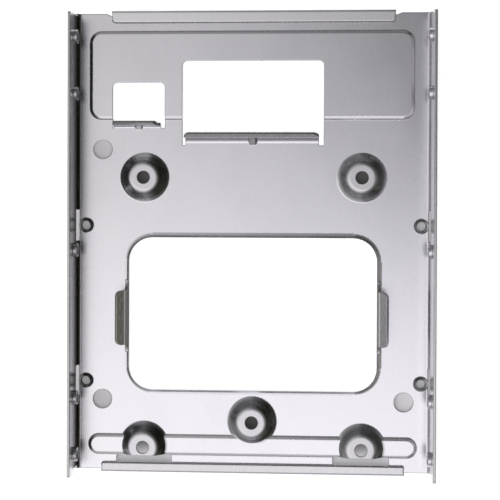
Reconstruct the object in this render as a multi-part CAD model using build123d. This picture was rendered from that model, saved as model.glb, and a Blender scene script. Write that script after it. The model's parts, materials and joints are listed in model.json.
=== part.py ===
from build123d import *
import math
import os

# Sizes in millimetres: X across the bay, Y along it, Z up from the underside.
SHEET = 0.8
WIDTH = 101.6
FLANGE_HEIGHT = 12.0
FLANGE_EDGE_BEVEL = 0.12
FLANGE_END_R = 0.6
FLANGE_TOP_SHORT = 0.9
FLANGE_LOW_LONG = 0.25
FLANGE_NOTCH_DEPTH = 1.0
FLANGE_NOTCH_Z = 7.6
FLANGE_NOTCH_R = 0.6
BEND_R = 0.8

# Tapped holes in the flanges: two sets at the standard spacing, one step apart, and a middle hole.
SIDE_SPACING = 101.6
SIDE_STEP = 16.0
SIDE_TOP_EDGE = 7.25
SIDE_LOW_EDGE = 5.15
SIDE_MIDDLE_FROM_TOP = 67.25
SIDE_HOLE_Z = 6.35
LENGTH = SIDE_SPACING + SIDE_STEP + SIDE_TOP_EDGE + SIDE_LOW_EDGE

# Tapped holes in the base: bottom pattern of the large bay, with a slot through the bend beside each.
BAY_EDGE = 3.175
BAY_SPACING_Y = 44.45
BAY_CENTRE_FROM_LOW = 47.42
TAPPED_R = 1.4
COLLAR_FOOT_R = 2.1
SIDE_COLLAR_R = 2.0
COLLAR_RISE = 1.0
BEND_SLOT_LENGTH = 8.8
BEND_SLOT_DEPTH = 1.2
BEND_SLOT_RISE = 3.6

# Plain holes.
PLAIN_R = 2.7
PLAIN_EDGE = 7.9
PLAIN_FROM_TOP = 38.6
PLAIN_FROM_LOW = 19.95

# Raised bosses carrying the small drive.
DRIVE_SPACING_X = 61.72
DRIVE_SPACING_Y = 76.6
DRIVE_FROM_LOW = 6.75
CENTRE_BOSS_FROM_LOW = 14.1
BOSS_RISE = 2.8
BOSS_TOP_R = 3.3
BOSS_EASE_R = 4.0
BOSS_EASE_DROP = 0.15
BOSS_SHOULDER_R = 4.6
BOSS_SHOULDER_DROP = 0.58
BOSS_SWEEP_R = 6.45
BOSS_SWEEP_RISE = 0.35
BOSS_FOOT_R = 7.05
BOSS_HOLE_R = 1.8
BOSS_CUT = 2.4
BOSS_SLOT_WIDTH = 15.8
BOSS_SLOT_LENGTH = 2.95
BOSS_SLOT_CORNER_R = 0.8

# Raised panel and raised bead.
PANEL_LEFT_EDGE = 4.15
PANEL_RIGHT_EDGE = 5.15
PANEL_FROM_TOP = 5.0
PANEL_LENGTH = 25.25
PANEL_CORNER_R = 3.4
BEAD_LEFT_EDGE = 3.95
BEAD_RIGHT_EDGE = 4.2
BEAD_FROM_LOW = 7.05
BEAD_WIDTH = 5.9
EMBOSS_WALL_RISE = 0.35
EMBOSS_WALL_DEG = 55.0
EMBOSS_SHOULDER_RISE = 0.25
EMBOSS_SHOULDER_DEG = 22.0

# Central opening with its turned-up rim, and a guide tab on each side of the drive.
DRIVE_WIDTH = 69.85
GUIDE_CLEARANCE = 0.475
OPENING_FROM_LOW = 22.8
OPENING_LENGTH = 43.4
OPENING_CORNER_R = 6.8
RIM_LIP = 0.2
RIM_FOOT = 1.4
RIM_SLOPE_DEG = 12.0
RIM_CURL = 0.6
RIM_CURL_DEG = 40.0
RIM_LAND = 0.1
GUIDE_FROM_LOW = 43.8
GUIDE_LENGTH = 15.3
GUIDE_STRAIGHT = 6.4
GUIDE_FLARE = 2.2
GUIDE_FLARE_DEG = 47.0
GUIDE_ROOT_R = 2.6

# Windows and their turned-up tabs.
WIDE_HALF_X = 20.05
WIDE_FROM_TOP = 13.55
WIDE_LENGTH = 23.4
WIDE_RELIEF_LEFT = 0.85
WIDE_RELIEF_RIGHT = 1.3
WIDE_TAB_BEND_R = 1.4
WIDE_TAB_STRAIGHT = 6.0
WIDE_TAB_FLARE = 0.8
NARROW_GAP = 5.1
NARROW_WIDTH = 14.85
NARROW_FROM_TOP = 19.7
NARROW_LENGTH = 12.85
NARROW_RELIEF_LEFT = 0.25
NARROW_RELIEF_RIGHT = 1.05
NARROW_TAB_BEND_R = 0.6
NARROW_TAB_STRAIGHT = 2.6
NARROW_TAB_FLARE = 0.65
NARROW_TAB_SLANT = 2.4
WINDOW_CORNER_R = 1.45
RELIEF_DEPTH = 0.55
KNEE_R = 0.6
TAB_CORNER_R = 1.7
TAB_FLARE_DEG = 35.0
DART_WIDTH = 2.4
DART_RUN = 0.5
DART_RISE = 0.1
DART_BEVEL = 0.45

# Hems at both ends.
HEM_R = 0.9
HEM_TOP_EDGE = 10.55
HEM_TOP_LIP = 2.8
HEM_LOW_EDGE = 7.75
HEM_LOW_LIP = 2.0
HEM_TOP_CORNER_R = 1.1
HEM_LOW_CORNER_R = 0.5
HEM_LIP_BEVEL = 0.3
HEM_NOTCH_WIDTH = 1.7
HEM_NOTCH_FLOOR = 0.3
HEM_NOTCH_DEPTH = 0.6

HALF_W = WIDTH / 2
TOP_Y = LENGTH / 2
LOW_Y = -LENGTH / 2
FACE_X = HALF_W - SHEET
GUIDE_X = DRIVE_WIDTH / 2 + GUIDE_CLEARANCE
OPENING_LOW_Y = LOW_Y + OPENING_FROM_LOW
OPENING_TOP_Y = OPENING_LOW_Y + OPENING_LENGTH
OPENING_Y = (OPENING_LOW_Y + OPENING_TOP_Y) / 2
DRIVE_LOW_Y = LOW_Y + DRIVE_FROM_LOW
BOSS_CUT_Y = DRIVE_LOW_Y - BOSS_CUT
WIDE_TOP_Y = TOP_Y - WIDE_FROM_TOP
WIDE_LOW_Y = WIDE_TOP_Y - WIDE_LENGTH
NARROW_TOP_Y = TOP_Y - NARROW_FROM_TOP
NARROW_LOW_Y = NARROW_TOP_Y - NARROW_LENGTH
NARROW_RIGHT_X = -WIDE_HALF_X - NARROW_GAP
NARROW_LEFT_X = NARROW_RIGHT_X - NARROW_WIDTH
RIM_SLOPE_RISE = (RIM_FOOT - RIM_CURL) * math.tan(math.radians(RIM_SLOPE_DEG))
RIM_CURL_RISE = (RIM_CURL - RIM_LAND) * math.tan(math.radians(RIM_CURL_DEG))
RIM_RISE = RIM_SLOPE_RISE + RIM_CURL_RISE
THROUGH = 2 * FLANGE_HEIGHT


def block(x0, x1, y0, y1, z0, z1):
    centre = Pos((x0 + x1) / 2, (y0 + y1) / 2, (z0 + z1) / 2)
    return centre * Box(abs(x1 - x0), abs(y1 - y0), abs(z1 - z0))


def cross_rod(x0, x1, y, z, radius):
    return Pos((x0 + x1) / 2, y, z) * Rot(0, 90, 0) * Cylinder(radius, abs(x1 - x0))


def outline(points, corners=()):
    face = make_face(Polyline(*points, close=True))
    for u, v, radius in corners:
        near = face.vertices().sort_by(lambda p: math.hypot(p.X - u, p.Y - v))
        face = fillet(near[0], radius)
    return face


def rectangle(x0, x1, y0, y1, top_r=0.0):
    corners = [(x0, y1, top_r), (x1, y1, top_r)] if top_r > 0 else []
    return outline([(x0, y0), (x1, y0), (x1, y1), (x0, y1)], corners)


def through_cut(shape):
    return extrude(shape, THROUGH, both=True)


def channel():
    # The folded section, trimmed to the side view of the flanges.
    bend = SHEET + BEND_R
    bevel_z = FLANGE_HEIGHT - FLANGE_EDGE_BEVEL
    right = [
        (HALF_W, 0), (HALF_W, bevel_z), (HALF_W - FLANGE_EDGE_BEVEL, FLANGE_HEIGHT),
        (FACE_X + FLANGE_EDGE_BEVEL, FLANGE_HEIGHT), (FACE_X, bevel_z), (FACE_X, SHEET),
    ]
    left = [(-x, z) for x, z in reversed(right)]
    corners = [
        (-HALF_W, 0, bend), (HALF_W, 0, bend), (-FACE_X, SHEET, BEND_R), (FACE_X, SHEET, BEND_R),
    ]
    folded = extrude(Plane.XZ * outline(right + left, corners), LENGTH, both=True)
    top_end = TOP_Y - FLANGE_TOP_SHORT
    low_end = LOW_Y - FLANGE_LOW_LONG
    notch_y = LOW_Y + FLANGE_NOTCH_DEPTH
    points = [
        (LOW_Y, -SHEET), (TOP_Y, -SHEET), (TOP_Y, bend), (top_end, bend), (top_end, FLANGE_HEIGHT),
        (low_end, FLANGE_HEIGHT), (low_end, FLANGE_NOTCH_Z), (notch_y, FLANGE_NOTCH_Z),
        (notch_y, bend), (LOW_Y, bend),
    ]
    corners = [
        (top_end, FLANGE_HEIGHT, FLANGE_END_R), (low_end, FLANGE_HEIGHT, FLANGE_END_R),
        (low_end, FLANGE_NOTCH_Z, FLANGE_END_R), (notch_y, FLANGE_NOTCH_Z, FLANGE_NOTCH_R),
    ]
    return folded & extrude(Plane.YZ * outline(points, corners), WIDTH, both=True)


def opening(outwards):
    half_x = GUIDE_X - RIM_LIP + outwards
    return RectangleRounded(2 * half_x, OPENING_LENGTH + 2 * outwards, OPENING_CORNER_R + outwards)


def with_rim(plate):
    # Edge of the opening curled up: a gentle slope, then a steeper one, with the matching hollow below.
    slope = Pos(0, 0, SHEET) * extrude(opening(RIM_FOOT), RIM_SLOPE_RISE, taper=90 - RIM_SLOPE_DEG)
    curl = extrude(opening(RIM_CURL), RIM_CURL_RISE, taper=90 - RIM_CURL_DEG)
    curl = Pos(0, 0, SHEET + RIM_SLOPE_RISE) * curl
    under = extrude(opening(RIM_FOOT), RIM_RISE, taper=math.degrees(math.atan(RIM_FOOT / RIM_RISE)))
    centre = Pos(0, OPENING_Y, 0)
    return plate + centre * slope + centre * curl - centre * through_cut(opening(0)) - centre * under


def flared_tip(face, back, straight, flare, flare_deg):
    # Free end of a tab that stands straight and then leans out: the tip's corners and the outer knee.
    lean = math.radians(flare_deg)
    top = straight + flare / math.tan(lean)
    tip = face + flare + SHEET * math.cos(lean)
    tip_z = top - SHEET * math.sin(lean)
    knee_z = tip_z - (tip - back) / math.tan(lean)
    return top, tip, tip_z, knee_z


def round_tip(tab, tip_z, radius):
    tips = tab.edges().filter_by(lambda e: e.center().Z > tip_z - SHEET / 4)
    tips = tips.filter_by(lambda e: e.length < 1.01 * SHEET)
    return fillet(tips, radius)


def guide():
    back = GUIDE_X + SHEET
    start = RIM_RISE
    top, tip, tip_z, knee_z = flared_tip(GUIDE_X, back, GUIDE_STRAIGHT, GUIDE_FLARE, GUIDE_FLARE_DEG)
    points = [
        (GUIDE_X, start), (GUIDE_X, GUIDE_STRAIGHT), (GUIDE_X + GUIDE_FLARE, top),
        (tip, tip_z), (back, knee_z), (back, start),
    ]
    corners = [
        (GUIDE_X, GUIDE_STRAIGHT, KNEE_R + SHEET), (back, knee_z, KNEE_R),
    ]
    tab = extrude(Plane.XZ * outline(points, corners), GUIDE_LENGTH / 2, both=True)
    tab = round_tip(tab, tip_z, TAB_CORNER_R)
    root_z = SHEET + RIM_RISE + GUIDE_ROOT_R
    for end in (-1, 1):
        y0 = end * GUIDE_LENGTH / 2
        y1 = y0 + end * GUIDE_ROOT_R
        root = block(GUIDE_X, back, y0, y1, start, root_z)
        tab = tab + (root - cross_rod(GUIDE_X - SHEET, back + SHEET, y1, root_z, GUIDE_ROOT_R))
    return Pos(0, LOW_Y + GUIDE_FROM_LOW, 0) * tab


def window_tab(x0, x1, low_y, bend_r, straight, flare):
    face = low_y + bend_r
    back = face + SHEET
    root = low_y - SHEET
    top, tip, tip_z, knee_z = flared_tip(face, back, straight, flare, TAB_FLARE_DEG)
    points = [
        (root, 0), (back, 0), (back, knee_z), (tip, tip_z),
        (face + flare, top), (face, straight), (face, SHEET), (root, SHEET),
    ]
    corners = [
        (back, 0, bend_r + SHEET), (face, SHEET, bend_r),
        (back, knee_z, KNEE_R), (face, straight, KNEE_R + SHEET),
    ]
    return Pos(x0, 0, 0) * extrude(Plane.YZ * outline(points, corners), x1 - x0), tip_z


def dart(x, low_y, bend_r):
    # Stiffening rib pressed across the bend of a tab.
    face = low_y + bend_r
    run = bend_r + DART_RUN
    rise = bend_r + DART_RISE
    points = [(face - run, SHEET), (face, SHEET), (face, SHEET + rise)]
    rib = extrude(Plane.YZ * outline(points), DART_WIDTH / 2, both=True)
    slanted = rib.edges().filter_by(lambda e: e.length > math.hypot(run, rise) - SHEET / 10)
    slanted = slanted.filter_by(lambda e: abs(e.center().X) > DART_WIDTH / 4)
    return Pos(x, 0, 0) * chamfer(slanted, DART_BEVEL)


def pressed(profile, base_z):
    # Solid of revolution below a boss's half section, given from the edge of its flat top outwards.
    points = [(0, base_z), (0, profile[0][1])] + profile + [(profile[-1][0], base_z)]
    return revolve(Plane.XZ * outline(points), Axis.Z)


def boss_forms():
    top_z = SHEET + BOSS_RISE
    upper = [
        (BOSS_TOP_R, top_z), (BOSS_EASE_R, top_z - BOSS_EASE_DROP),
        (BOSS_SHOULDER_R, top_z - BOSS_SHOULDER_DROP), (BOSS_SWEEP_R, SHEET + BOSS_SWEEP_RISE),
        (BOSS_FOOT_R, SHEET),
    ]
    lower = [(BOSS_TOP_R, BOSS_RISE), (BOSS_SWEEP_R, 0)]
    return pressed(upper, SHEET / 2), pressed(lower, -SHEET)


def embossed(shape):
    # A steep wall with a gentle shoulder above it, and the matching hollow on the underside.
    wall_deg = 90 - EMBOSS_WALL_DEG
    wall_run = EMBOSS_WALL_RISE * math.tan(math.radians(wall_deg))
    upper = Pos(0, 0, SHEET) * extrude(shape, EMBOSS_WALL_RISE, taper=wall_deg)
    shoulder = extrude(offset(shape, -wall_run), EMBOSS_SHOULDER_RISE, taper=90 - EMBOSS_SHOULDER_DEG)
    upper = upper + Pos(0, 0, SHEET + EMBOSS_WALL_RISE) * shoulder
    under_shape = offset(shape, -SHEET * math.tan(math.radians(EMBOSS_WALL_DEG / 2)))
    return upper, extrude(under_shape, EMBOSS_WALL_RISE + EMBOSS_SHOULDER_RISE, taper=45)


def hem(edge, lip, corner_r, end):
    half_x = HALF_W - edge
    bend_y = end * TOP_Y
    free_y = end * (TOP_Y - lip)
    gap = HEM_R - SHEET
    fold = cross_rod(-half_x, half_x, bend_y, HEM_R, HEM_R)
    fold = fold & block(-half_x, half_x, bend_y, bend_y + end * 2 * HEM_R, 0, 2 * HEM_R)
    fold = fold - block(-half_x, half_x, bend_y, bend_y + end * gap, SHEET, SHEET + 2 * gap)
    shape = outline(
        [(-half_x, bend_y), (half_x, bend_y), (half_x, free_y), (-half_x, free_y)],
        [(-half_x, free_y, corner_r), (half_x, free_y, corner_r)])
    flat = extrude(shape, SHEET)
    flat = Pos(0, 0, 2 * HEM_R - SHEET - flat.bounding_box().min.Z) * flat
    free = flat.edges().filter_by(lambda e: e.center().Z > 2 * HEM_R - SHEET / 10)
    free = free.filter_by(lambda e: abs(e.center().Y - bend_y) > 0.6 * lip)
    return fold + chamfer(free, HEM_LIP_BEVEL)


def hem_notch(side):
    x0 = side * (HALF_W - HEM_TOP_EDGE)
    x1 = x0 + side * HEM_NOTCH_FLOOR
    x2 = x0 + side * HEM_NOTCH_WIDTH
    floor_y = TOP_Y - HEM_NOTCH_DEPTH
    above_y = TOP_Y + 2 * HEM_R
    points = [(x0, above_y), (x0, floor_y), (x1, floor_y), (x2, TOP_Y), (x2, above_y)]
    return through_cut(outline(points))


def base_collar():
    # Lip pushed up round a tapped hole, drawn in to the hole.
    lip_z = SHEET + COLLAR_RISE
    points = [
        (0, SHEET / 2), (COLLAR_FOOT_R, SHEET / 2), (COLLAR_FOOT_R, SHEET),
        (TAPPED_R, lip_z), (0, lip_z),
    ]
    return revolve(Plane.XZ * outline(points), Axis.Z)


def side_collar():
    # Lip pushed straight through round a tapped hole in a flange, the flange's outer face at zero.
    height = SHEET / 2 + COLLAR_RISE
    return Pos(0, 0, SHEET / 2 + height / 2) * Cylinder(SIDE_COLLAR_R, height)


body = with_rim(channel())

# Raised forms, each with the matching hollow on the underside.
panel_width = WIDTH - PANEL_LEFT_EDGE - PANEL_RIGHT_EDGE
panel_x = (PANEL_LEFT_EDGE - PANEL_RIGHT_EDGE) / 2
panel_y = TOP_Y - PANEL_FROM_TOP - PANEL_LENGTH / 2
panel = embossed(RectangleRounded(panel_width, PANEL_LENGTH, PANEL_CORNER_R))
panel = [Pos(panel_x, panel_y, 0) * form for form in panel]
bead_x = (BEAD_LEFT_EDGE - BEAD_RIGHT_EDGE) / 2
bead = embossed(SlotOverall(WIDTH - BEAD_LEFT_EDGE - BEAD_RIGHT_EDGE, BEAD_WIDTH))
bead = [Pos(bead_x, LOW_Y + BEAD_FROM_LOW, 0) * form for form in bead]
boss = boss_forms()
corner_bosses = GridLocations(DRIVE_SPACING_X, DRIVE_SPACING_Y, 2, 2).locations
boss_places = [Pos(0, DRIVE_LOW_Y + DRIVE_SPACING_Y / 2, 0) * place for place in corner_bosses]
boss_places.append(Pos(0, LOW_Y + CENTRE_BOSS_FROM_LOW, 0))
behind_cut = block(-HALF_W, HALF_W, BOSS_CUT_Y, TOP_Y, -SHEET, FLANGE_HEIGHT)
for form in [panel[0], bead[0]] + [place * boss[0] & behind_cut for place in boss_places]:
    body = body + form
for form in [panel[1], bead[1]] + [place * boss[1] & behind_cut for place in boss_places]:
    body = body - form
for place in boss_places:
    body = body - place * Cylinder(BOSS_HOLE_R, THROUGH)

# Slots that end the two low corner bosses in front of the hem.
for side in (-1, 1):
    x0 = side * DRIVE_SPACING_X / 2 - BOSS_SLOT_WIDTH / 2
    x1 = x0 + BOSS_SLOT_WIDTH
    slot = rectangle(x0, x1, BOSS_CUT_Y - BOSS_SLOT_LENGTH, BOSS_CUT_Y, BOSS_SLOT_CORNER_R)
    body = body - through_cut(slot)

# Windows, then their tabs with a stiffening dart in each bend.
wide = rectangle(-WIDE_HALF_X, WIDE_HALF_X, WIDE_LOW_Y, WIDE_TOP_Y, WINDOW_CORNER_R)
narrow = rectangle(NARROW_LEFT_X, NARROW_RIGHT_X, NARROW_LOW_Y, NARROW_TOP_Y, WINDOW_CORNER_R)
body = body - through_cut(wide) - through_cut(narrow)
tab_left = WIDE_RELIEF_LEFT - WIDE_HALF_X
tab_right = WIDE_HALF_X - WIDE_RELIEF_RIGHT
for x0, x1 in ((-WIDE_HALF_X, tab_left), (tab_right, WIDE_HALF_X)):
    body = body - through_cut(rectangle(x0, x1, WIDE_LOW_Y - RELIEF_DEPTH, WIDE_LOW_Y))
wide_tab, tip_z = window_tab(
    tab_left, tab_right, WIDE_LOW_Y, WIDE_TAB_BEND_R, WIDE_TAB_STRAIGHT, WIDE_TAB_FLARE)
body = body + round_tip(wide_tab, tip_z, TAB_CORNER_R) + dart(0, WIDE_LOW_Y, WIDE_TAB_BEND_R)
tab_left = NARROW_LEFT_X + NARROW_RELIEF_LEFT
tab_right = NARROW_RIGHT_X - NARROW_RELIEF_RIGHT
narrow_tab, tip_z = window_tab(
    tab_left, tab_right, NARROW_LOW_Y, NARROW_TAB_BEND_R, NARROW_TAB_STRAIGHT, NARROW_TAB_FLARE)
slant_x = tab_right - NARROW_TAB_SLANT
slant = outline([
    (tab_right, 2 * SHEET), (tab_right, 2 * tip_z), (slant_x - NARROW_TAB_SLANT, 2 * tip_z)])
narrow_tab = narrow_tab - Pos(0, NARROW_LOW_Y, 0) * extrude(Plane.XZ * slant, THROUGH, both=True)
body = body + narrow_tab + dart(NARROW_RIGHT_X - NARROW_WIDTH / 2, NARROW_LOW_Y, NARROW_TAB_BEND_R)

# Guides on both sides of the drive, then the hems.
body = body + guide() + mirror(guide(), Plane.YZ)
body = body - hem_notch(1) - hem_notch(-1)
body = body + hem(HEM_TOP_EDGE, HEM_TOP_LIP, HEM_TOP_CORNER_R, 1)
body = body + hem(HEM_LOW_EDGE, HEM_LOW_LIP, HEM_LOW_CORNER_R, -1)

# Tapped holes in the base.
bay_y = LOW_Y + BAY_CENTRE_FROM_LOW
for side in (-1, 1):
    for y in (bay_y - BAY_SPACING_Y / 2, bay_y + BAY_SPACING_Y / 2):
        x0 = side * (HALF_W - BEND_SLOT_DEPTH)
        x1 = side * (HALF_W + SHEET)
        y0 = y - BEND_SLOT_LENGTH / 2
        body = body - block(x0, x1, y0, y0 + BEND_SLOT_LENGTH, -SHEET, BEND_SLOT_RISE)
        hole = Pos(side * (HALF_W - BAY_EDGE), y, 0)
        body = body + hole * base_collar() - hole * Cylinder(TAPPED_R, THROUGH)

# Tapped holes in the flanges, with their collars on the inside.
first_y = TOP_Y - SIDE_TOP_EDGE
side_rows = [
    first_y, first_y - SIDE_STEP, TOP_Y - SIDE_MIDDLE_FROM_TOP,
    first_y - SIDE_SPACING, first_y - SIDE_STEP - SIDE_SPACING,
]
for side in (-1, 1):
    for y in side_rows:
        hole = Pos(side * HALF_W, y, SIDE_HOLE_Z) * Rot(0, -side * 90, 0)
        body = body + hole * side_collar() - hole * Cylinder(TAPPED_R, FLANGE_HEIGHT)

# Plain holes.
plain_x = HALF_W - PLAIN_EDGE
plain_low_y = LOW_Y + PLAIN_FROM_LOW
for x, y in ((-plain_x, TOP_Y - PLAIN_FROM_TOP), (-plain_x, plain_low_y), (plain_x, plain_low_y)):
    body = body - Pos(x, y, 0) * Cylinder(PLAIN_R, THROUGH)

os.makedirs("parts", exist_ok=True)
export_step(body, "parts/bracket.step")
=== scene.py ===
import json
import math

import bmesh
import bpy
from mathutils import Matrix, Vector


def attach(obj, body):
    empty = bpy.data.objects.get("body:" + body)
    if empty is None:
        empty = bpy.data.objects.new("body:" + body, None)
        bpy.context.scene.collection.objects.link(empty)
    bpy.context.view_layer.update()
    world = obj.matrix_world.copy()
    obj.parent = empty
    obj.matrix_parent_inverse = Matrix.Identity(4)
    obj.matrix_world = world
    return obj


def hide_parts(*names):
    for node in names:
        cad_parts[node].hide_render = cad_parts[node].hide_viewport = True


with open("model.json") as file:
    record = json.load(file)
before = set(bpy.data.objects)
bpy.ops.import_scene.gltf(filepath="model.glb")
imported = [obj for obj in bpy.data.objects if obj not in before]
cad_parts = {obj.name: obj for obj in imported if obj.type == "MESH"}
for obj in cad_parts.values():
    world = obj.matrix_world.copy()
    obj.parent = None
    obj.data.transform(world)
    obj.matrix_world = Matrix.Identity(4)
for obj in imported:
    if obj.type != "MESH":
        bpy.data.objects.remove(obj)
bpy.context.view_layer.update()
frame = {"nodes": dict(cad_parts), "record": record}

scene = bpy.context.scene
mounts = {mount["name"]: mount for mount in frame["record"]["mounts"]}
MM = 0.001

# Sizes and places are in millimetres, in the part's frame. A pair of places is a stretch over which
# a mark comes in or goes out, and two pairs are the stretches over which it does first one, then the other.

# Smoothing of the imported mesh.
WELD = 0.001
TINY_AREA = 1e-12
LEVEL_COSINE = 0.99999
FLAT_COSINE = math.cos(math.radians(20))
ROUND_COSINE = math.cos(math.radians(30))

# Threads: a ridge wound inwards from where the hole starts.
THREAD_R = 1.41
THREAD_RIDGE_R = 0.19
THREAD_DEPTH = 1.4
THREAD_TURNS = 2.0
THREAD_TURN_STEPS = 16
THREAD_RIDGE_SIDES = 4
BASE_THREAD_Z = 0.2
FLANGE_THREAD_X = 50.6

# Rolled steel: three noises, how far each sways the tone, and the tones from deep to pale.
GRAIN = {"scale": (2.6, 0.25, 2.6), "detail": 4.0, "roughness": 0.65}
CLOUDS = {"scale": (0.06, 0.045, 0.06), "detail": 3.0, "roughness": 0.55}
FLECKS = {"scale": (2.2, 1.6, 2.2), "detail": 3.0, "roughness": 0.6}
GRAIN_TONE = 0.18
CLOUD_TONE = 0.4
FLECK_TONE = 0.16
STEEL_DEEP = (0.60, 0.59, 0.63, 1)
STEEL = (0.745, 0.735, 0.775, 1)
STEEL_PALE = (0.84, 0.83, 0.865, 1)
STEEL_ROUGHNESS = 0.27
CLOUD_ROUGHNESS = 0.05
GRAIN_ROUGHNESS = 0.03
GRAIN_RELIEF = 0.6
FLECK_RELIEF = 0.4
RELIEF_STRENGTH = 0.01
RELIEF_DEPTH = 0.02

# Sheared edges, darkened along every sharp edge and crease: bare steel on the cut edges and painted shade in
# the creases. The walls of the pressed bead and panel get painted light instead.
EDGE_R = 0.35
EDGE_SAMPLES = 8
EDGE_TURN = (0.01, 0.12)
SHEARED_EDGE_AND_CREASE_SHADE = (0.20, 0.19, 0.185, 1)
EDGE_AND_CREASE_SHADE_SHARE = 0.7
PANEL_SPARED = 0.45
INNER_X = (43.5, 44.5)
BEAD_Y = ((-61.6, -61.3), (-54.6, -54.3))
BEAD_END_X = (45.0, 46.2)
BEAD_LEFT_X = (-20, 25)
BEAD_LEFT_SHARE = 0.75
BEAD_RIGHT_LOSS = 0.5
PANEL_EDGE_Y = ((58.9, 59.2), (60.2, 60.5))
PANEL_SHARE = 0.3
PRESSED_Z = ((0.82, 0.9), (1.3, 1.38))
PAINTED_WALL_LIGHT = (0.92, 0.91, 0.93, 1)

# Hems: painted light on the top hem and a painted shadow along its lip.
HEM_Z = (1.55, 1.7)
TOP_HEM_Y = (61.5, 62.0)
TOP_HEM_LIGHT = (0.95, 0.945, 0.95, 1)
TOP_HEM_LIGHT_SHARE = 0.7
TOP_HEM_ROUGHNESS = 0.08
LIP_Y = ((61.9, 62.0), (62.45, 62.55))
LIP_Z = (0.95, 1.05)
LIP_SHADOW = (0.2, 0.2, 0.2, 1)
LIP_SHADOW_SHARE = 0.6
LOW_HEM_Y = (-62.5, -62.0)
LOW_HEM = (0.45, 0.44, 0.45, 1)
LOW_HEM_SHARE = 0.3
LOW_HEM_STREAKS = 0.4

# Tapped collars of the base, with painted shade round them.
COLLAR_R = (1.95, 2.25)
COLLAR_SHADE = (0.10, 0.10, 0.09, 1)
COLLAR_SHADE_SHARE = 0.8
COLLAR_SHADE_RIGHT_LOSS = 0.2
MIDDLE_X = (-1.0, 1.0)

# Bosses, by distance from the axis; the right flank is where that distance leads to the right. They get
# painted shade on the walls, darkest on the right flank, and a painted highlight on the feet.
CORNER_BOSS_X = (12, 14)
BOSS_AXIS_R = 0.01
RIGHT_FLANK = (0.2, 0.65)
ABOVE_LOW_HEM_Y = (-63.0, -62.5)
BOSS_TOP_R = (3.9, 4.9)
BOSS_TOP_ROUGHNESS = 0.13
BOSS_WALL_R = ((3.7, 4.5), (5.6, 6.3))
BOSS_WALL_SHADE = (0.16, 0.19, 0.18, 1)
BOSS_WALL_SHADE_SHARE = 0.44
BOSS_FLANK_R = ((3.9, 4.8), (6.0, 7.0))
BOSS_FLANK_SHADE = (0.08, 0.085, 0.055, 1)
BOSS_FLANK_SHADE_SHARE = 0.8
BOSS_FOOT_R = ((5.9, 6.4), (6.9, 7.3))
BOSS_FOOT_Y = (-52.0, -48.0)
BOSS_FOOT_HIGHLIGHT = (0.95, 0.94, 0.97, 1)
BOSS_FOOT_HIGHLIGHT_SHARE = 0.6
CLEAR_OF_BOSS_R = (6.9, 7.3)

# Painted shade in the left bend.
BEND_X = ((-50.3, -50.0), (-49.9, -48.6))
BEND_Z = ((0.3, 0.6), (4.5, 9.0))
BEND_SHADE = (0.05, 0.05, 0.04, 1)
BEND_SHADE_SHARE = 0.94

# Guides, window tabs and free edges, all with painted shade.
GUIDE_X = (40, 42)
GUIDE_Y = -22
GUIDE_REACH = (9, 10)
GUIDE_WALL_Z = ((1.2, 2.0), (6.0, 6.8))
GUIDE_WALL_SHADE = (0.24, 0.24, 0.215, 1)
GUIDE_WALL_SHADE_SHARE = 0.9
GUIDE_WALL_ROUGHNESS = 0.5
GUIDE_WALL_DULL = 0.85
GUIDE_TIP_Z = (6.3, 6.9)
GUIDE_TIP_SHADE = (0.56, 0.55, 0.47, 1)
GUIDE_TIP_SHADE_SHARE = 0.8
GUIDE_TIP_DULL = 0.5
TAB_X = (44, 45)
TAB_Y = (26.2, 26.6)
TAB_Z = (2.2, 2.8)
TAB_SHADE = (0.22, 0.22, 0.19, 1)
TAB_SHADE_SHARE = 0.45
FREE_EDGE_Z = (11.75, 11.9)
FREE_EDGE_SHADE = (0.36, 0.36, 0.34, 1)
FREE_EDGE_SHADE_SHARE = 0.6

# Floor, and the shade under the bracket; a gap in it is x from and to, then y from and to.
FLOOR_REACH = (-20000, 20000)
FLOOR_Z = -0.5
FLOOR_PAINT = (0.9, 0.9, 0.9, 1)
FLOOR_GLOW = 0.75
SHADE_X = (-51.6, 51.6)
SHADE_Y = (-64.2, 64.0)
SHADE_Z = -0.3
SHADE_GAPS = [(-35.8, 35.8, -42.8, 1.8), (-20.7, 20.7, 27.4, 52.0), (-40.6, -24.5, 31.8, 45.9)]
SHADE_DEPTH = (10, 17)
SHADE_END_STEEPNESS = 2.3
SHADE_PALE = (0.84, 0.825, 0.86, 1)
SHADE_DARK = (0.26, 0.25, 0.25, 1)
SHADE_GLOW = 0.17
SHADE_GLOW_LOSS = 0.15

# Light by direction: degrees from straight up, or the part of the way to the right, and the level there.
LIGHT_ALONG = [
    (-90, 0.08), (-75, 0.12), (-65, 0.22), (-55, 0.42), (-45, 0.58), (-35, 0.72), (-25, 0.84), (-14, 0.89),
    (-10, 0.91), (-6, 0.885), (-3, 0.74), (-1.5, 0.635), (0, 0.545), (2, 0.52), (7, 0.51), (14, 0.435),
    (25, 0.34), (45, 0.23), (55, 0.15), (65, 0.09), (90, 0.06),
]
LIGHT_LEFT = [
    (-90, 0.08), (-78, 0.1), (-70, 0.25), (-60, 0.5), (-45, 0.76), (-33, 0.87), (-20, 0.96), (-7, 1.0),
]
LIGHT_FAR_STEP = [
    (-3, 0.95), (0, 0.85), (2.5, 0.72), (4.5, 0.59), (6, 0.51), (7.4, 0.42), (8.6, 0.22), (10, 0.04),
    (12, 0.01), (16, 0.02),
]
LIGHT_NEAR_STEP = [
    (2, 1.0), (5, 1.18), (9, 1.22), (11, 1.12), (12.5, 0.85), (14, 0.4), (15.5, 0.1), (17, 0.04),
]
LIGHT_RIGHT = [(19, 0.12), (24, 0.26), (32, 0.3), (40, 0.16), (50, 0.04), (70, 0.01), (90, 0.01)]
LIGHT_LOW = [(-1, 0.10), (-0.6, 0.11), (0, 0.07), (0.3, 0.04), (0.7, 0.01), (1, 0.005)]
CEILING_LEVEL = 1.52
STEP_LEAN = 0.45
STEP_LEAN_MOST = 4.5
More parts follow.
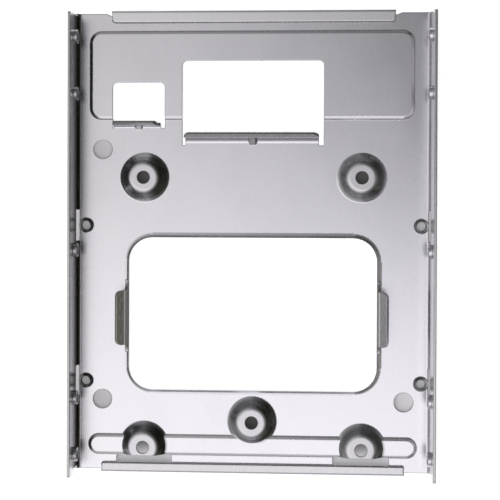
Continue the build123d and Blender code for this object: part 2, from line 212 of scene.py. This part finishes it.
FAR_SIDE = (-5.0, 0.0)
LOW_UP = (0.45, 0.75)
LOW_FAR_LOSS = 0.5
NEAR_RIGHT_LEVEL = 0.05
NEAR_RIGHT_RIGHT = (0.2, 0.5)
NEAR_RIGHT_FAR = (-0.3, -0.6)
NEAR_RIGHT_UP = (0.35, 0.6)
LEAST_LEVEL = 0.01
TINT_LEFT = (1.0, 0.985, 0.985, 1)
TINT_MIDDLE = (0.97, 0.98, 1.03, 1)
TINT_NEAR = (1.0, 0.97, 0.995, 1)
TINT_RIGHT = (1.0, 0.97, 0.82, 1)
TO_MIDDLE = (-0.15, 0.1)
TO_NEAR = (0.0, -8.0)
TO_NEAR_RIGHT = (-0.1, 0.05)
TO_RIGHT = (0.15, 0.6)

# Camera: pixels of the photograph's frame, millimetres and degrees.
PHOTO_PX = 500
FOCAL_PX = 1122.9
SHIFT_PX = -40
SENSOR = 36.0
EYE = (16.42, 11.67, 319.38)
EYE_TURN = (-0.4437, 3.0849, 0.2011)
NEAREST_SEEN = 10


def mount_place(name):
    """Place of a mount."""
    return [part / MM for part in mounts[name]["pos_m"]]


def half_spacing(name, axis):
    """Half the distance between a pattern's holes along one of its own axes."""
    return mounts[name]["dims"][f"spacing_{axis}_mm"] / 2


class Signal:
    """One output socket of a shader tree; operators on it add Math nodes."""

    def __init__(self, finish, socket):
        self.finish = finish
        self.socket = socket

    def math(self, operation, first, second=0.0):
        return self.finish.node(
            "ShaderNodeMath", {"operation": operation}, {0: first, 1: second}, "Value")

    def __add__(self, other):
        return self.math("ADD", self, other)

    def __radd__(self, other):
        return self.math("ADD", other, self)

    def __sub__(self, other):
        return self.math("SUBTRACT", self, other)

    def __rsub__(self, other):
        return self.math("SUBTRACT", other, self)

    def __mul__(self, other):
        return self.math("MULTIPLY", self, other)

    def __rmul__(self, other):
        return self.math("MULTIPLY", other, self)

    def __truediv__(self, other):
        return self.math("DIVIDE", self, other)

    def __pow__(self, other):
        return self.math("POWER", self, other)

    def __abs__(self):
        return self.math("ABSOLUTE", self)

    def sign(self):
        return self.math("SIGN", self)

    def least(self, other):
        return self.math("MINIMUM", self, other)

    def most(self, other):
        return self.math("MAXIMUM", self, other)

    def degrees_from(self, other):
        return self.math("ARCTAN2", self, other) * math.degrees(1)


class Finish:
    """A node tree that is filled by one method."""

    def __init__(self, tree):
        self.tree = tree
        self.tree.nodes.clear()

    def node(self, kind, settings=None, sockets=None, out=0):
        made = self.tree.nodes.new(kind)
        for name, value in (settings or {}).items():
            if name == "stops":
                self.set_stops(made.color_ramp, value)
            else:
                setattr(made, name, value)
        for name, value in (sockets or {}).items():
            socket = made.inputs[name]
            if isinstance(value, Signal):
                self.tree.links.new(value.socket, socket)
            else:
                socket.default_value = value
        return Signal(self, made.outputs[out]) if len(made.outputs) else made

    def set_stops(self, ramp, stops):
        while len(ramp.elements) < len(stops):
            ramp.elements.new(0.5)
        for element, (position, colour) in zip(ramp.elements, stops):
            element.position = position
            element.color = colour

    def spread(self, value, low, high):
        """From 0 at low to 1 at high."""
        return self.node(
            "ShaderNodeMapRange", {"clamp": True},
            {"Value": value, "From Min": low, "From Max": high}, "Result")

    def fade(self, value, low, high):
        """From 1 at low to 0 at high."""
        return 1.0 - self.spread(value, low, high)

    def band(self, value, rise, fall):
        """Comes in over one stretch of a value and goes out over another."""
        return self.spread(value, *rise) * self.fade(value, *fall)

    def ramp(self, value, stops):
        """Level of a value between stops, each a place and its level."""
        low = stops[0][0]
        length = stops[-1][0] - low
        levels = [((place - low) / length, (level, level, level, 1)) for place, level in stops]
        return self.node("ShaderNodeValToRGB", {"stops": levels}, {"Fac": (value - low) / length}, "Color")

    def mix(self, factor, first, second):
        return self.node(
            "ShaderNodeMix", {"data_type": "RGBA"}, {0: factor, 6: first, 7: second}, 2)

    def stretched(self, vector, scale):
        return self.node(
            "ShaderNodeVectorMath", {"operation": "MULTIPLY"}, {0: vector, 1: scale}, "Vector")

    def place(self):
        """Object coordinates in millimetres."""
        return self.stretched(self.node("ShaderNodeTexCoord", out="Object"), (1 / MM, 1 / MM, 1 / MM))

    def axes(self, vector):
        """The three parts of a vector."""
        return [self.node("ShaderNodeSeparateXYZ", {}, {0: vector}, part) for part in "XYZ"]


class SheetFinish(Finish):
    """Galvanised sheet with rolled grain, and marks laid on it by place: dark sheared edges, painted light
    and shade, and rougher, duller patches.
    """

    def __init__(self, tree):
        super().__init__(tree)
        self.spot = self.place()
        self.x, self.y, self.z = self.axes(self.spot)
        self.inner = self.fade(abs(self.x), *INNER_X)
        self.measure_bosses()

    def measure_bosses(self):
        """Distance from the axis of the nearest boss, and its right flank."""
        corner_x = abs(self.x) - half_spacing("drive_holes", "x")
        corner_y = abs(self.y - mount_place("drive_holes")[1]) - half_spacing("drive_holes", "y")
        centre_y = self.y - mount_place("centre_boss_hole")[1]
        from_corner = (corner_x * corner_x + corner_y * corner_y) ** 0.5
        from_centre = (self.x * self.x + centre_y * centre_y) ** 0.5
        self.from_boss = from_corner.least(from_centre)
        at_corner = self.spread(abs(self.x), *CORNER_BOSS_X)
        beside = corner_x * self.x.sign() * at_corner + self.x * (1.0 - at_corner)
        self.right_flank = self.spread(beside / (self.from_boss + BOSS_AXIS_R), *RIGHT_FLANK)

    def noise(self, scale, detail, roughness):
        return self.node(
            "ShaderNodeTexNoise", {},
            {"Vector": self.stretched(self.spot, scale), "Scale": 1.0, "Detail": detail,
             "Roughness": roughness}, "Fac")

    def stain(self, share, colour):
        self.colour = self.mix(share, self.colour, colour)

    def rolled_sheet(self):
        """Grain along the sheet, broad clouds and small flecks, each swaying the tone about its middle."""
        self.grain = self.noise(**GRAIN)
        self.flecks = self.noise(**FLECKS)
        clouds = self.noise(**CLOUDS)
        tone = 0.5 + (self.grain - 0.5) * GRAIN_TONE + (clouds - 0.5) * CLOUD_TONE
        tone = tone + (self.flecks - 0.5) * FLECK_TONE
        tones = [(0.1, STEEL_DEEP), (0.5, STEEL), (0.9, STEEL_PALE)]
        self.colour = self.node("ShaderNodeValToRGB", {"stops": tones}, {"Fac": tone}, "Color")
        self.rough = STEEL_ROUGHNESS + (clouds - 0.5) * CLOUD_ROUGHNESS + (self.grain - 0.5) * GRAIN_ROUGHNESS

    def pressed_edges(self):
        """Sheared edges are dark, bare steel on cut edges and painted shade along creases; the bead's walls,
        more to the left, and the panel's far edge get painted light and are dull.
        """
        self.rounded = self.node(
            "ShaderNodeBevel", {"samples": EDGE_SAMPLES}, {"Radius": EDGE_R * MM}, "Normal")
        facing = self.node("ShaderNodeNewGeometry", out="Normal")
        level = self.node(
            "ShaderNodeVectorMath", {"operation": "DOT_PRODUCT"}, {0: self.rounded, 1: facing}, "Value")
        bead = self.band(self.y, *BEAD_Y)
        panel = self.band(self.y, *PANEL_EDGE_Y) * self.inner
        share = EDGE_AND_CREASE_SHADE_SHARE - bead * self.inner * EDGE_AND_CREASE_SHADE_SHARE - panel * PANEL_SPARED
        self.stain(self.spread(1.0 - level, *EDGE_TURN) * share, SHEARED_EDGE_AND_CREASE_SHADE)
        bead = bead * self.fade(abs(self.x), *BEAD_END_X)
        bead = bead * (BEAD_LEFT_SHARE - self.spread(self.x, *BEAD_LEFT_X) * BEAD_RIGHT_LOSS)
        wall_light = self.band(self.z, *PRESSED_Z) * (bead + panel * PANEL_SHARE)
        self.stain(wall_light, PAINTED_WALL_LIGHT)
        self.dull = wall_light * self.spread(self.from_boss, *CLEAR_OF_BOSS_R)

    def hems(self):
        """Painted light on the top hem, which is also rougher, and a painted shadow along its lip; the low
        hem is streaked grey.
        """
        hem = self.spread(self.z, *HEM_Z) * self.inner
        top = hem * self.spread(self.y, *TOP_HEM_Y)
        low = hem * self.fade(self.y, *LOW_HEM_Y)
        lip_shadow = self.band(self.y, *LIP_Y) * self.spread(self.z, *LIP_Z) * self.inner
        self.stain(top * TOP_HEM_LIGHT_SHARE, TOP_HEM_LIGHT)
        self.stain(lip_shadow * LIP_SHADOW_SHARE, LIP_SHADOW)
        self.stain(low * (LOW_HEM_SHARE + self.grain * LOW_HEM_STREAKS), LOW_HEM)
        self.rough = self.rough + top * TOP_HEM_ROUGHNESS

    def tapped_collars(self):
        """Painted shade round the tapped holes of the base, darker on the left."""
        off_x = abs(self.x) - half_spacing("bay_holes", "x")
        off_y = abs(self.y - mount_place("bay_holes")[1]) - half_spacing("bay_holes", "y")
        collar_shade = self.fade((off_x * off_x + off_y * off_y) ** 0.5, *COLLAR_R)
        self.stain(collar_shade * (COLLAR_SHADE_SHARE - self.spread(self.x, *MIDDLE_X) * COLLAR_SHADE_RIGHT_LOSS), COLLAR_SHADE)

    def bosses(self):
        """Rougher tops, painted shade on the walls, darkest and olive on the right, and a painted highlight
        on the feet.
        """
        above_hem = self.spread(self.y, *ABOVE_LOW_HEM_Y)
        wall = self.band(self.from_boss, *BOSS_WALL_R) * above_hem
        flank = self.band(self.from_boss, *BOSS_FLANK_R) * above_hem * self.right_flank
        foot = self.band(self.from_boss, *BOSS_FOOT_R) * self.spread(self.y, *BOSS_FOOT_Y)
        self.stain(wall * BOSS_WALL_SHADE_SHARE, BOSS_WALL_SHADE)
        self.stain(flank * BOSS_FLANK_SHADE_SHARE, BOSS_FLANK_SHADE)
        self.stain(foot * (1.0 - self.right_flank) * BOSS_FOOT_HIGHLIGHT_SHARE, BOSS_FOOT_HIGHLIGHT)
        self.rough = self.rough + self.fade(self.from_boss, *BOSS_TOP_R) * BOSS_TOP_ROUGHNESS

    def left_bend(self):
        """Painted shade in the left bend and up the lower part of the flange."""
        self.stain(self.band(self.x, *BEND_X) * self.band(self.z, *BEND_Z) * BEND_SHADE_SHARE, BEND_SHADE)

    def guides(self):
        """Painted shade on the guides' walls and the left guide's tip, which are also dull; the walls are
        rougher too.
        """
        guide = self.fade(abs(self.x), *GUIDE_X) * self.fade(abs(self.y - GUIDE_Y), *GUIDE_REACH)
        wall = guide * self.band(self.z, *GUIDE_WALL_Z)
        tip = guide * self.spread(self.z, *GUIDE_TIP_Z) * self.fade(self.x, *MIDDLE_X)
        self.stain(wall * GUIDE_WALL_SHADE_SHARE, GUIDE_WALL_SHADE)
        self.stain(tip * GUIDE_TIP_SHADE_SHARE, GUIDE_TIP_SHADE)
        self.rough = self.rough + wall * GUIDE_WALL_ROUGHNESS
        self.dull = self.dull + wall * GUIDE_WALL_DULL + tip * GUIDE_TIP_DULL

    def tabs_and_free_edges(self):
        # Painted shade on the window tabs' tops and on the flanges' free edges.
        tab = self.spread(self.z, *TAB_Z) * self.fade(abs(self.x), *TAB_X) * self.spread(self.y, *TAB_Y)
        self.stain(tab * TAB_SHADE_SHARE, TAB_SHADE)
        self.stain(self.spread(self.z, *FREE_EDGE_Z) * FREE_EDGE_SHADE_SHARE, FREE_EDGE_SHADE)

    def surface(self):
        relief = self.grain * GRAIN_RELIEF + self.flecks * FLECK_RELIEF
        normal = self.node(
            "ShaderNodeBump", {},
            {"Strength": RELIEF_STRENGTH, "Distance": RELIEF_DEPTH * MM, "Height": relief,
             "Normal": self.rounded}, "Normal")
        shader = self.node(
            "ShaderNodeBsdfPrincipled", {},
            {"Base Color": self.colour, "Metallic": 1.0 - self.dull, "Roughness": self.rough,
             "Normal": normal}, "BSDF")
        self.node("ShaderNodeOutputMaterial", {}, {"Surface": shader})


def galvanised_steel():
    material = bpy.data.materials.new("galvanised_steel")
    material.use_nodes = True
    sheet = SheetFinish(material.node_tree)
    sheet.rolled_sheet()
    sheet.pressed_edges()
    sheet.hems()
    sheet.tapped_collars()
    sheet.bosses()
    sheet.left_bend()
    sheet.guides()
    sheet.tabs_and_free_edges()
    sheet.surface()
    return material


def patches(mesh):
    """Number of the CAD face that each triangle belongs to; whether each face is flat; a normal of each."""
    owner = list(range(len(mesh.vertices)))

    def root(v):
        while owner[v] != v:
            owner[v] = owner[owner[v]]
            v = owner[v]
        return v

    for face in mesh.polygons:
        first = root(face.vertices[0])
        for v in face.vertices[1:]:
            owner[root(v)] = first
    numbers = [root(face.vertices[0]) for face in mesh.polygons]
    sample, flat = {}, {}
    for face, number in zip(mesh.polygons, numbers):
        normal = sample.setdefault(number, face.normal.copy())
        level = face.area < TINY_AREA or normal.dot(face.normal) > LEVEL_COSINE
        flat[number] = flat.get(number, True) and level
    return numbers, flat, sample


def soft_normals(work, patch, flat, sample):
    """Normal of every corner: flat faces keep theirs, and bends and pressed walls run into them."""
    found = {}
    for vert in work.verts:
        plain, curved = {}, {}
        for face in vert.link_faces:
            number = face[patch]
            if flat[number]:
                plain[number] = sample[number]
            else:
                weight = next(corner.calc_angle() for corner in face.loops if corner.vert == vert)
                curved[number] = curved.get(number, Vector()) + face.normal * weight
        curved = {number: normal.normalized() for number, normal in curved.items()}
        for number, normal in plain.items():
            found[vert.index, number] = normal
        for number, normal in curved.items():
            level = [other for other in plain.values() if other.dot(normal) > FLAT_COSINE]
            level = level or [other for other in curved.values() if other.dot(normal) > ROUND_COSINE]
            found[vert.index, number] = sum(level, Vector()).normalized()
    return [found[corner.vert.index, face[patch]] for face in work.faces for corner in face.loops]


def folded_sheet(material):
    """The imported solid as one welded, smooth mesh."""
    mesh = frame["nodes"]["bracket"].data.copy()
    numbers, flat, sample = patches(mesh)
    work = bmesh.new()
    work.from_mesh(mesh)
    patch = work.faces.layers.int.new("patch")
    work.faces.ensure_lookup_table()
    for face, number in zip(work.faces, numbers):
        face[patch] = number
    bmesh.ops.remove_doubles(work, verts=work.verts, dist=WELD * MM)
    work.faces.ensure_lookup_table()
    normals = soft_normals(work, patch, flat, sample)
    work.faces.layers.int.remove(patch)
    finished = bpy.data.meshes.new("folded_sheet")
    work.to_mesh(finished)
    work.free()
    finished.materials.clear()
    finished.materials.append(material)
    finished.polygons.foreach_set("material_index", [0] * len(finished.polygons))
    finished.shade_smooth()
    finished.normals_split_custom_set(normals)
    sheet = bpy.data.objects.new("folded_sheet", finished)
    scene.collection.objects.link(sheet)
    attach(sheet, "root")
    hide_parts("bracket")


def tapped_holes():
    """Where the thread of each tapped hole starts, and the way that it goes."""
    bay_y = mount_place("bay_holes")[1]
    half_x = half_spacing("bay_holes", "x")
    half_y = half_spacing("bay_holes", "y")
    holes = [
        ((x, y, BASE_THREAD_Z), (0, 0, 1))
        for x in (-half_x, half_x) for y in (bay_y + half_y, bay_y - half_y)]
    for side, outwards in (("left", -1), ("right", 1)):
        _, middle_y, z = mount_place(f"{side}_side_middle")
        rows = [middle_y]
        for pattern in (f"{side}_side_holes_a", f"{side}_side_holes_b"):
            centre = mount_place(pattern)[1]
            half = half_spacing(pattern, "x")
            rows += [centre + half, centre - half]
        for y in sorted(rows, reverse=True):
            holes.append(((outwards * FLANGE_THREAD_X, y, z), (-outwards, 0, 0)))
    return holes


def hole_places():
    """One point for each tapped hole, with the hole's axis."""
    holes = tapped_holes()
    mesh = bpy.data.meshes.new("hole_places")
    mesh.from_pydata([Vector(place) * MM for place, axis in holes], [], [])
    axes = mesh.attributes.new("axis", "FLOAT_VECTOR", "POINT")
    for item, (place, axis) in zip(axes.data, holes):
        item.vector = axis
    places = bpy.data.objects.new("hole_places", mesh)
    scene.collection.objects.link(places)
    return places


def wound_ridges(kinds):
    """Geometry Nodes that wind a ridge and copy it to every hole, and the key of each of its inputs."""
    tree = bpy.data.node_groups.new("wound_ridges", "GeometryNodeTree")
    wound = Finish(tree)
    keys = {}
    for name, kind in kinds.items():
        keys[name] = tree.interface.new_socket(name, in_out="INPUT", socket_type=kind).identifier
    tree.interface.new_socket("Ridges", in_out="OUTPUT", socket_type="NodeSocketGeometry")

    def given(name):
        return wound.node("NodeGroupInput", out=name)

    helix = wound.node(
        "GeometryNodeCurveSpiral", {},
        {"Resolution": THREAD_TURN_STEPS, "Rotations": given("Turns"), "Start Radius": given("Hole Radius"),
         "End Radius": given("Hole Radius"), "Height": given("Depth")}, "Curve")
    profile = wound.node(
        "GeometryNodeCurvePrimitiveCircle", {"mode": "RADIUS"},
        {"Resolution": THREAD_RIDGE_SIDES, "Radius": given("Ridge Radius")}, "Curve")
    ridge = wound.node(
        "GeometryNodeCurveToMesh", {}, {"Curve": helix, "Profile Curve": profile, "Fill Caps": True}, "Mesh")
    axis = wound.node(
        "GeometryNodeInputNamedAttribute", {"data_type": "FLOAT_VECTOR"}, {"Name": "axis"}, "Attribute")
    turned = wound.node("FunctionNodeAlignRotationToVector", {"axis": "Z"}, {"Vector": axis}, "Rotation")
    copies = wound.node(
        "GeometryNodeInstanceOnPoints", {},
        {"Points": given("Places"), "Instance": ridge, "Rotation": turned}, "Instances")
    joined = wound.node("GeometryNodeRealizeInstances", {}, {"Geometry": copies}, "Geometry")
    finished = wound.node(
        "GeometryNodeSetMaterial", {}, {"Geometry": joined, "Material": given("Finish")}, "Geometry")
    wound.node("NodeGroupOutput", {}, {"Ridges": finished})
    return tree, keys


def hole_threads(material):
    """The thread of each tapped hole: one ridge wound inside the hole, copied to every hole."""
    places = hole_places()
    tree, keys = wound_ridges({
        "Places": "NodeSocketGeometry", "Hole Radius": "NodeSocketFloat", "Ridge Radius": "NodeSocketFloat",
        "Depth": "NodeSocketFloat", "Turns": "NodeSocketFloat", "Finish": "NodeSocketMaterial"})
    modifier = places.modifiers.new("wound_ridges", "NODES")
    modifier.node_group = tree
    modifier[keys["Hole Radius"]] = THREAD_R * MM
    modifier[keys["Ridge Radius"]] = THREAD_RIDGE_R * MM
    modifier[keys["Depth"]] = THREAD_DEPTH * MM
    modifier[keys["Turns"]] = THREAD_TURNS
    modifier[keys["Finish"]] = material
    graph = bpy.context.evaluated_depsgraph_get()
    ridges = bpy.data.meshes.new_from_object(places.evaluated_get(graph))
    places.modifiers.remove(modifier)
    bpy.data.objects.remove(places)
    threads = bpy.data.objects.new("hole_threads", ridges)
    scene.collection.objects.link(threads)
    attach(threads, "root")


def shade_tone(coat):
    """Paint and glow of the shade, darker in from its edges."""
    x, y, _ = coat.axes(coat.place())
    in_x = SHADE_X[1] - abs(x)
    in_y = (y - SHADE_Y[0]).least(SHADE_Y[1] - y) * SHADE_END_STEEPNESS
    depth = coat.spread(in_x.least(in_y), *SHADE_DEPTH)
    return coat.mix(depth, SHADE_PALE, SHADE_DARK), SHADE_GLOW - depth * SHADE_GLOW_LOSS


def floor_coat(name, shaded):
    """Paint that is lit, and that also glows for what sees it."""
    material = bpy.data.materials.new(name)
    material.use_nodes = True
    coat = Finish(material.node_tree)
    paint, glow = shade_tone(coat) if shaded else (FLOOR_PAINT, FLOOR_GLOW)
    ray = "ShaderNodeLightPath"
    seen = coat.node(ray, out="Is Camera Ray") + coat.node(ray, out="Is Glossy Ray")
    seen = seen + coat.node(ray, out="Is Transmission Ray")
    lit = coat.node("ShaderNodeBsdfDiffuse", {}, {"Color": paint}, "BSDF")
    own = coat.node("ShaderNodeEmission", {}, {"Color": (1, 1, 1, 1), "Strength": seen * glow}, "Emission")
    both = coat.node("ShaderNodeAddShader", {}, {0: lit, 1: own}, "Shader")
    coat.node("ShaderNodeOutputMaterial", {}, {"Surface": both})
    return material


def level_sheet(name, xs, ys, z, gaps, shaded):
    """A level sheet of floor, cut along lines at xs and ys, with rectangular gaps."""
    verts, faces = [], []
    for x0, x1 in zip(xs, xs[1:]):
        for y0, y1 in zip(ys, ys[1:]):
            if any(g[0] <= x0 and x1 <= g[1] and g[2] <= y0 and y1 <= g[3] for g in gaps):
                continue
            faces.append(range(len(verts), len(verts) + 4))
            verts += [(x * MM, y * MM, z * MM) for x, y in ((x0, y0), (x1, y0), (x1, y1), (x0, y1))]
    mesh = bpy.data.meshes.new(name)
    mesh.from_pydata(verts, [], faces)
    mesh.materials.append(floor_coat(name, shaded))
    sheet = bpy.data.objects.new(name, mesh)
    scene.collection.objects.link(sheet)


def floor():
    """A white floor, and the shade under the bracket that its small holes look down on."""
    level_sheet("floor", FLOOR_REACH, FLOOR_REACH, FLOOR_Z, gaps=[], shaded=False)
    xs = sorted({*SHADE_X, *(x for gap in SHADE_GAPS for x in gap[:2])})
    ys = sorted({*SHADE_Y, *(y for gap in SHADE_GAPS for y in gap[2:])})
    level_sheet("floor_shade", xs, ys, SHADE_Z, gaps=SHADE_GAPS, shaded=True)


def studio():
    """Soft light by direction: a wide ceiling, bright to the left and near side, dark to the right."""
    world = bpy.data.worlds.new("studio")
    world.use_nodes = True
    air = Finish(world.node_tree)
    right, far, up = air.axes(air.node("ShaderNodeTexCoord", out="Generated"))
    across = right.degrees_from(up)
    along = far.degrees_from(up)
    lean = (along * STEP_LEAN).most(0.0).least(STEP_LEAN_MOST)
    far_side = air.ramp(across + lean, LIGHT_LEFT + LIGHT_FAR_STEP + LIGHT_RIGHT)
    near_side = air.ramp(across, LIGHT_LEFT + LIGHT_NEAR_STEP + LIGHT_RIGHT)
    beyond = air.spread(along, *FAR_SIDE)
    ceiling = air.ramp(along, LIGHT_ALONG) * (near_side * (1.0 - beyond) + far_side * beyond)
    low = air.ramp(right, LIGHT_LOW) * air.fade(up, *LOW_UP) * (1.0 - far * LOW_FAR_LOSS)
    near_right = air.spread(right, *NEAR_RIGHT_RIGHT) * air.spread(far, *NEAR_RIGHT_FAR)
    near_right = near_right * air.fade(up, *NEAR_RIGHT_UP)
    level = ceiling * CEILING_LEVEL + low + near_right * NEAR_RIGHT_LEVEL + LEAST_LEVEL
    tint = air.mix(air.spread(right, *TO_MIDDLE), TINT_LEFT, TINT_MIDDLE)
    tint = air.mix(air.spread(along, *TO_NEAR) * air.spread(right, *TO_NEAR_RIGHT), tint, TINT_NEAR)
    tint = air.mix(air.spread(right, *TO_RIGHT), tint, TINT_RIGHT)
    light = air.node("ShaderNodeBackground", {}, {"Color": tint, "Strength": level}, "Background")
    air.node("ShaderNodeOutputWorld", {}, {"Surface": light})
    scene.world = world


def camera():
    data = bpy.data.cameras.new("camera")
    data.sensor_width = SENSOR
    data.lens = FOCAL_PX / PHOTO_PX * SENSOR
    data.shift_y = SHIFT_PX / PHOTO_PX
    data.clip_start = NEAREST_SEEN * MM
    eye = bpy.data.objects.new("camera", data)
    eye.location = Vector(EYE) * MM
    eye.rotation_euler = [math.radians(angle) for angle in EYE_TURN]
    scene.collection.objects.link(eye)
    scene.camera = eye


scene.view_settings.view_transform = "Standard"
steel = galvanised_steel()
folded_sheet(steel)
hole_threads(steel)
floor()
studio()
camera()
